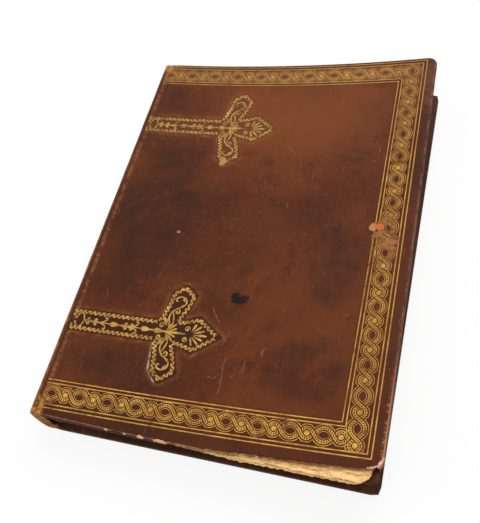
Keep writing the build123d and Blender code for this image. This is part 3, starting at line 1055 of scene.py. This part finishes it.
curl = ((-1.4, 0.2), (1.0, 0.8), (2.5, 1.8), (2.9, 3.1), (1.9, 3.5), (1.3, 2.8))
for strap_y in strap_ys:
    for side in (1, -1):
        def at(points):
            """Points in this half of this strap."""
            return [(x, strap_y + side * y) for x, y in points]
        rope(at([(-91.5, 5.2), (-38.4, 5.2)]))
        rope(at([
            (-38.0, 5.8), (-36.6, 8.8), (-34.6, 16.3), (-33.7, 24.2), (-28.3, 28.4),
            (-21.9, 23.3), (-23.4, 16.8), (-25.6, 11.4), (-27.4, 6.8),
        ]))
        rope(at([(-27.0, 6.0), (-22.5, 6.8), (-14.6, 9.2), (-2.8, 0.4)]))
        stroke(at([
            (-31.4, 2.0), (-32.2, 5.6), (-33.2, 9.0), (-32.6, 11.9), (-30.2, 14.6), (-26.9, 16.4),
        ]), 1.0)
        stroke(at([(-31.0, 2.4), (-29.9, 6.0), (-30.6, 9.4), (-31.6, 12.4)]), 0.8)
        volute(-29.3, strap_y + side * 13.0, 1.9, pi * 0.75 * side, 1.0, -side, 0.7)
        stroke(at([
            (-26.9, 16.4), (-25.6, 18.6), (-26.4, 21.4), (-29.2, 22.6), (-31.8, 21.4),
            (-31.6, 19.6), (-30.2, 19.7),
        ]), 0.95)
        for x, d, angle, length, width in (
            (-28.6, 15.6, 0.6, 3.0, 1.7), (-26.6, 19.6, 2.2, 2.4, 1.3),
            (-34.2, 4.6, 1.9, 4.4, 1.6), (-33.2, 3.4, 1.75, 4.6, 1.1),
        ):
            petal(x, strap_y + side * d, side * angle, length, width)
        for x, d, radius in ((-36.0, 3.6, 1.8), (-20.4, 3.1, 1.7)):
            volute(x, strap_y + side * d, radius, 0.0, 1.2, side, 0.65)
        half_palmette(-32.6, strap_y, side, 0.8, 1.25, ((0.40, 6.0), (0.80, 6.8), (1.22, 4.8)))
        half_palmette(-18.2, strap_y, side, 1.8, 1.45, ((0.36, 6.9), (0.76, 6.3), (1.22, 5.3)))
        for x in (-72.3, -53.0):
            stroke(at([(x + dx, dy) for dx, dy in curl]), 0.85)
        stroke(at([(-86.2, 5.0), (-84.6, 3.6), (-83.8, 1.8), (-83.4, 0.1)]), 0.8)
        for x, d in ((-90.6, 3.0), (-88.6, 1.4), (-87.6, 3.2)):
            volute(x, strap_y + side * d, 0.9, 0.0, 1.0, side, 0.5)
    for x in (-80.6, -76.0, -57.2, -53.6):
        flower(x, strap_y, 2.3)
    for x in (-66.4, -47.4, -39.6):
        petal(x + 5.4, strap_y, pi, 5.2, 3.6)
        petal(x + 4.2, strap_y, 0.0, 3.2, 1.4)
        petal(x - 0.4, strap_y + 0.6, 0.3, 2.4, 1.2)
        petal(x - 0.4, strap_y - 0.6, -0.3, 2.4, 1.2)
    for stem, width in (((-82.8, -78.0, -70.0, -60.0), 0.55), ((-60.0, -54.0, -46.0, -32.6), 0.6)):
        stroke([(x, strap_y) for x in stem], width)
    for x, angle, length, width in ((-16.6, 0.0, 8.6, 1.5), (-20.6, pi, 11.0, 1.9), (-33.6, 0.0, 2.4, 2.2)):
        petal(x, strap_y, angle, length, width)
foil_lift = 0.09 * mm
for v in foil.verts:
    pressed_z = -press_depth * pressed(v.co.x, v.co.y)
    x, y = v.co.x * mm, v.co.y * mm
    z = front_joint_height(x, y) if x < joint_side_x else front_height(x, y) + pressed_z
    v.co = (x, y, z + foil_lift)
for f in foil.faces:
    if f.normal.z < 0:
        f.normal_flip()
gilt, gilt_shader, place = new_finish("gold_leaf")
rubbed = place.cloud(230.0, 5.0, 0.7)
upper_strap = place.part(1).fade(10.0, 20.0)
gone = rubbed.fade(0.56, 0.66).over(upper_strap * rubbed.fade(0.50, 0.62) * 0.8)
leaf = rubbed.fade(0.3, 0.6).mix(shade(212, 168, 84), shade(164, 118, 54))
leaf = upper_strap.stain(leaf, 0.45, 160, 114, 62)
colour = gone.stain(leaf, 0.8, 92, 54, 36)
place.feed(gilt_shader, {"Base Color": colour, "Metallic": (1.0 - gone) * 0.55})
place.feed(gilt_shader, {"Roughness": gone * 0.2 + 0.34, "Specular IOR Level": 0.2})
joint_foil = foil.copy()
for part, past_joint in ((foil, False), (joint_foil, True)):
    other = [f for f in part.faces if (f.calc_center_median().x < joint_side_x) != past_joint]
    bmesh.ops.delete(part, geom=other, context="FACES")
strap_gold = add_piece("strap_gold_leaf", foil, gilt)
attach(strap_gold, "front_cover")
joint_gold = add_piece("joint_gold_leaf", joint_foil, gilt)
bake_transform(joint_gold)

# Stage: a sheet of white card under the book, in a white room.
# A large softbox hangs above and behind it, a weaker one fills in from the side of the spine,
# and the camera looks down from the tail.
image_height = 523
focal_pixels = 706.82
camera_at = (0.11523, -0.21791, 0.36447)
right, up, ahead = (0.9538, 0.22794, -0.19571), (-0.09565, 0.84791, 0.52144), (-0.2848, 0.47863, -0.83054)
card_glow = 0.88           # share of the card's own white; the rest takes the shadow
card_half_width = 4.0
white, white_shader, place = new_finish("white_card")
ground = bmesh.new()
bmesh.ops.create_grid(ground, x_segments=1, y_segments=1, size=card_half_width)
floor = add_mesh("floor", ground, white)
place.feed(white_shader, {"Base Color": (0.9, 0.9, 0.9, 1.0), "Roughness": 0.9})


def seen_ray(value):
    """1 for rays that show the background: straight to the eye, in a gloss or through glass."""
    rays = [value.node("ShaderNodeLightPath", {}, {}, out="Is " + kind + " Ray")
            for kind in ("Camera", "Glossy", "Transmission")]
    return reduce(Tint.over, rays)


glow = place.node("ShaderNodeEmission", {}, {"Color": (1.0, 1.0, 1.0, 1.0), "Strength": 1.0})
card = Tint(white_shader.outputs[0])
lit = place.node("ShaderNodeMixShader", {}, {0: seen_ray(place) * card_glow, 1: card, 2: glow})
place.feed(white.node_tree.nodes["Material Output"], {"Surface": lit})

world = bpy.data.worlds.new("studio")
bpy.context.scene.world = world
world.use_nodes = True
sky = world.node_tree.nodes["Background"]
view_ray = seen_ray(Tint(sky.outputs[0]))
overhead = view_ray.node("ShaderNodeTexCoord", {}, {}, out="Generated")
overhead = view_ray.node("ShaderNodeSeparateXYZ", {}, {0: overhead}, out=2).fade(-0.1, 0.9)
soft = overhead * 0.45 + 0.22
view_ray.feed(sky, {"Color": (1.0, 1.0, 1.0, 1.0), "Strength": soft + view_ray * (1.0 - soft)})

for name, place_at, size, energy in (
    ("key_softbox", (0.25, 0.75, 1.15), 0.9, 11.0),
    ("fill_softbox", (-0.9, -0.5, 1.2), 1.2, 5.0),
):
    lamp = bpy.data.lights.new(name, "AREA")
    lamp.size = size
    lamp.energy = energy
    made = add_object(name, lamp)
    made.location = place_at
    made.rotation_euler = (-Vector(place_at)).to_track_quat("-Z", "Y").to_euler()

lens = bpy.data.cameras.new("camera")
lens.sensor_fit = "VERTICAL"
lens.sensor_height = 36.0
lens.lens = focal_pixels / image_height * lens.sensor_height
camera = add_object("camera", lens)
turned = Matrix((right, up, [-c for c in ahead])).transposed()
camera.matrix_world = Matrix.Translation(camera_at) @ turned.to_4x4()
bpy.context.scene.camera = camera
bpy.context.scene.view_settings.view_transform = "Standard"
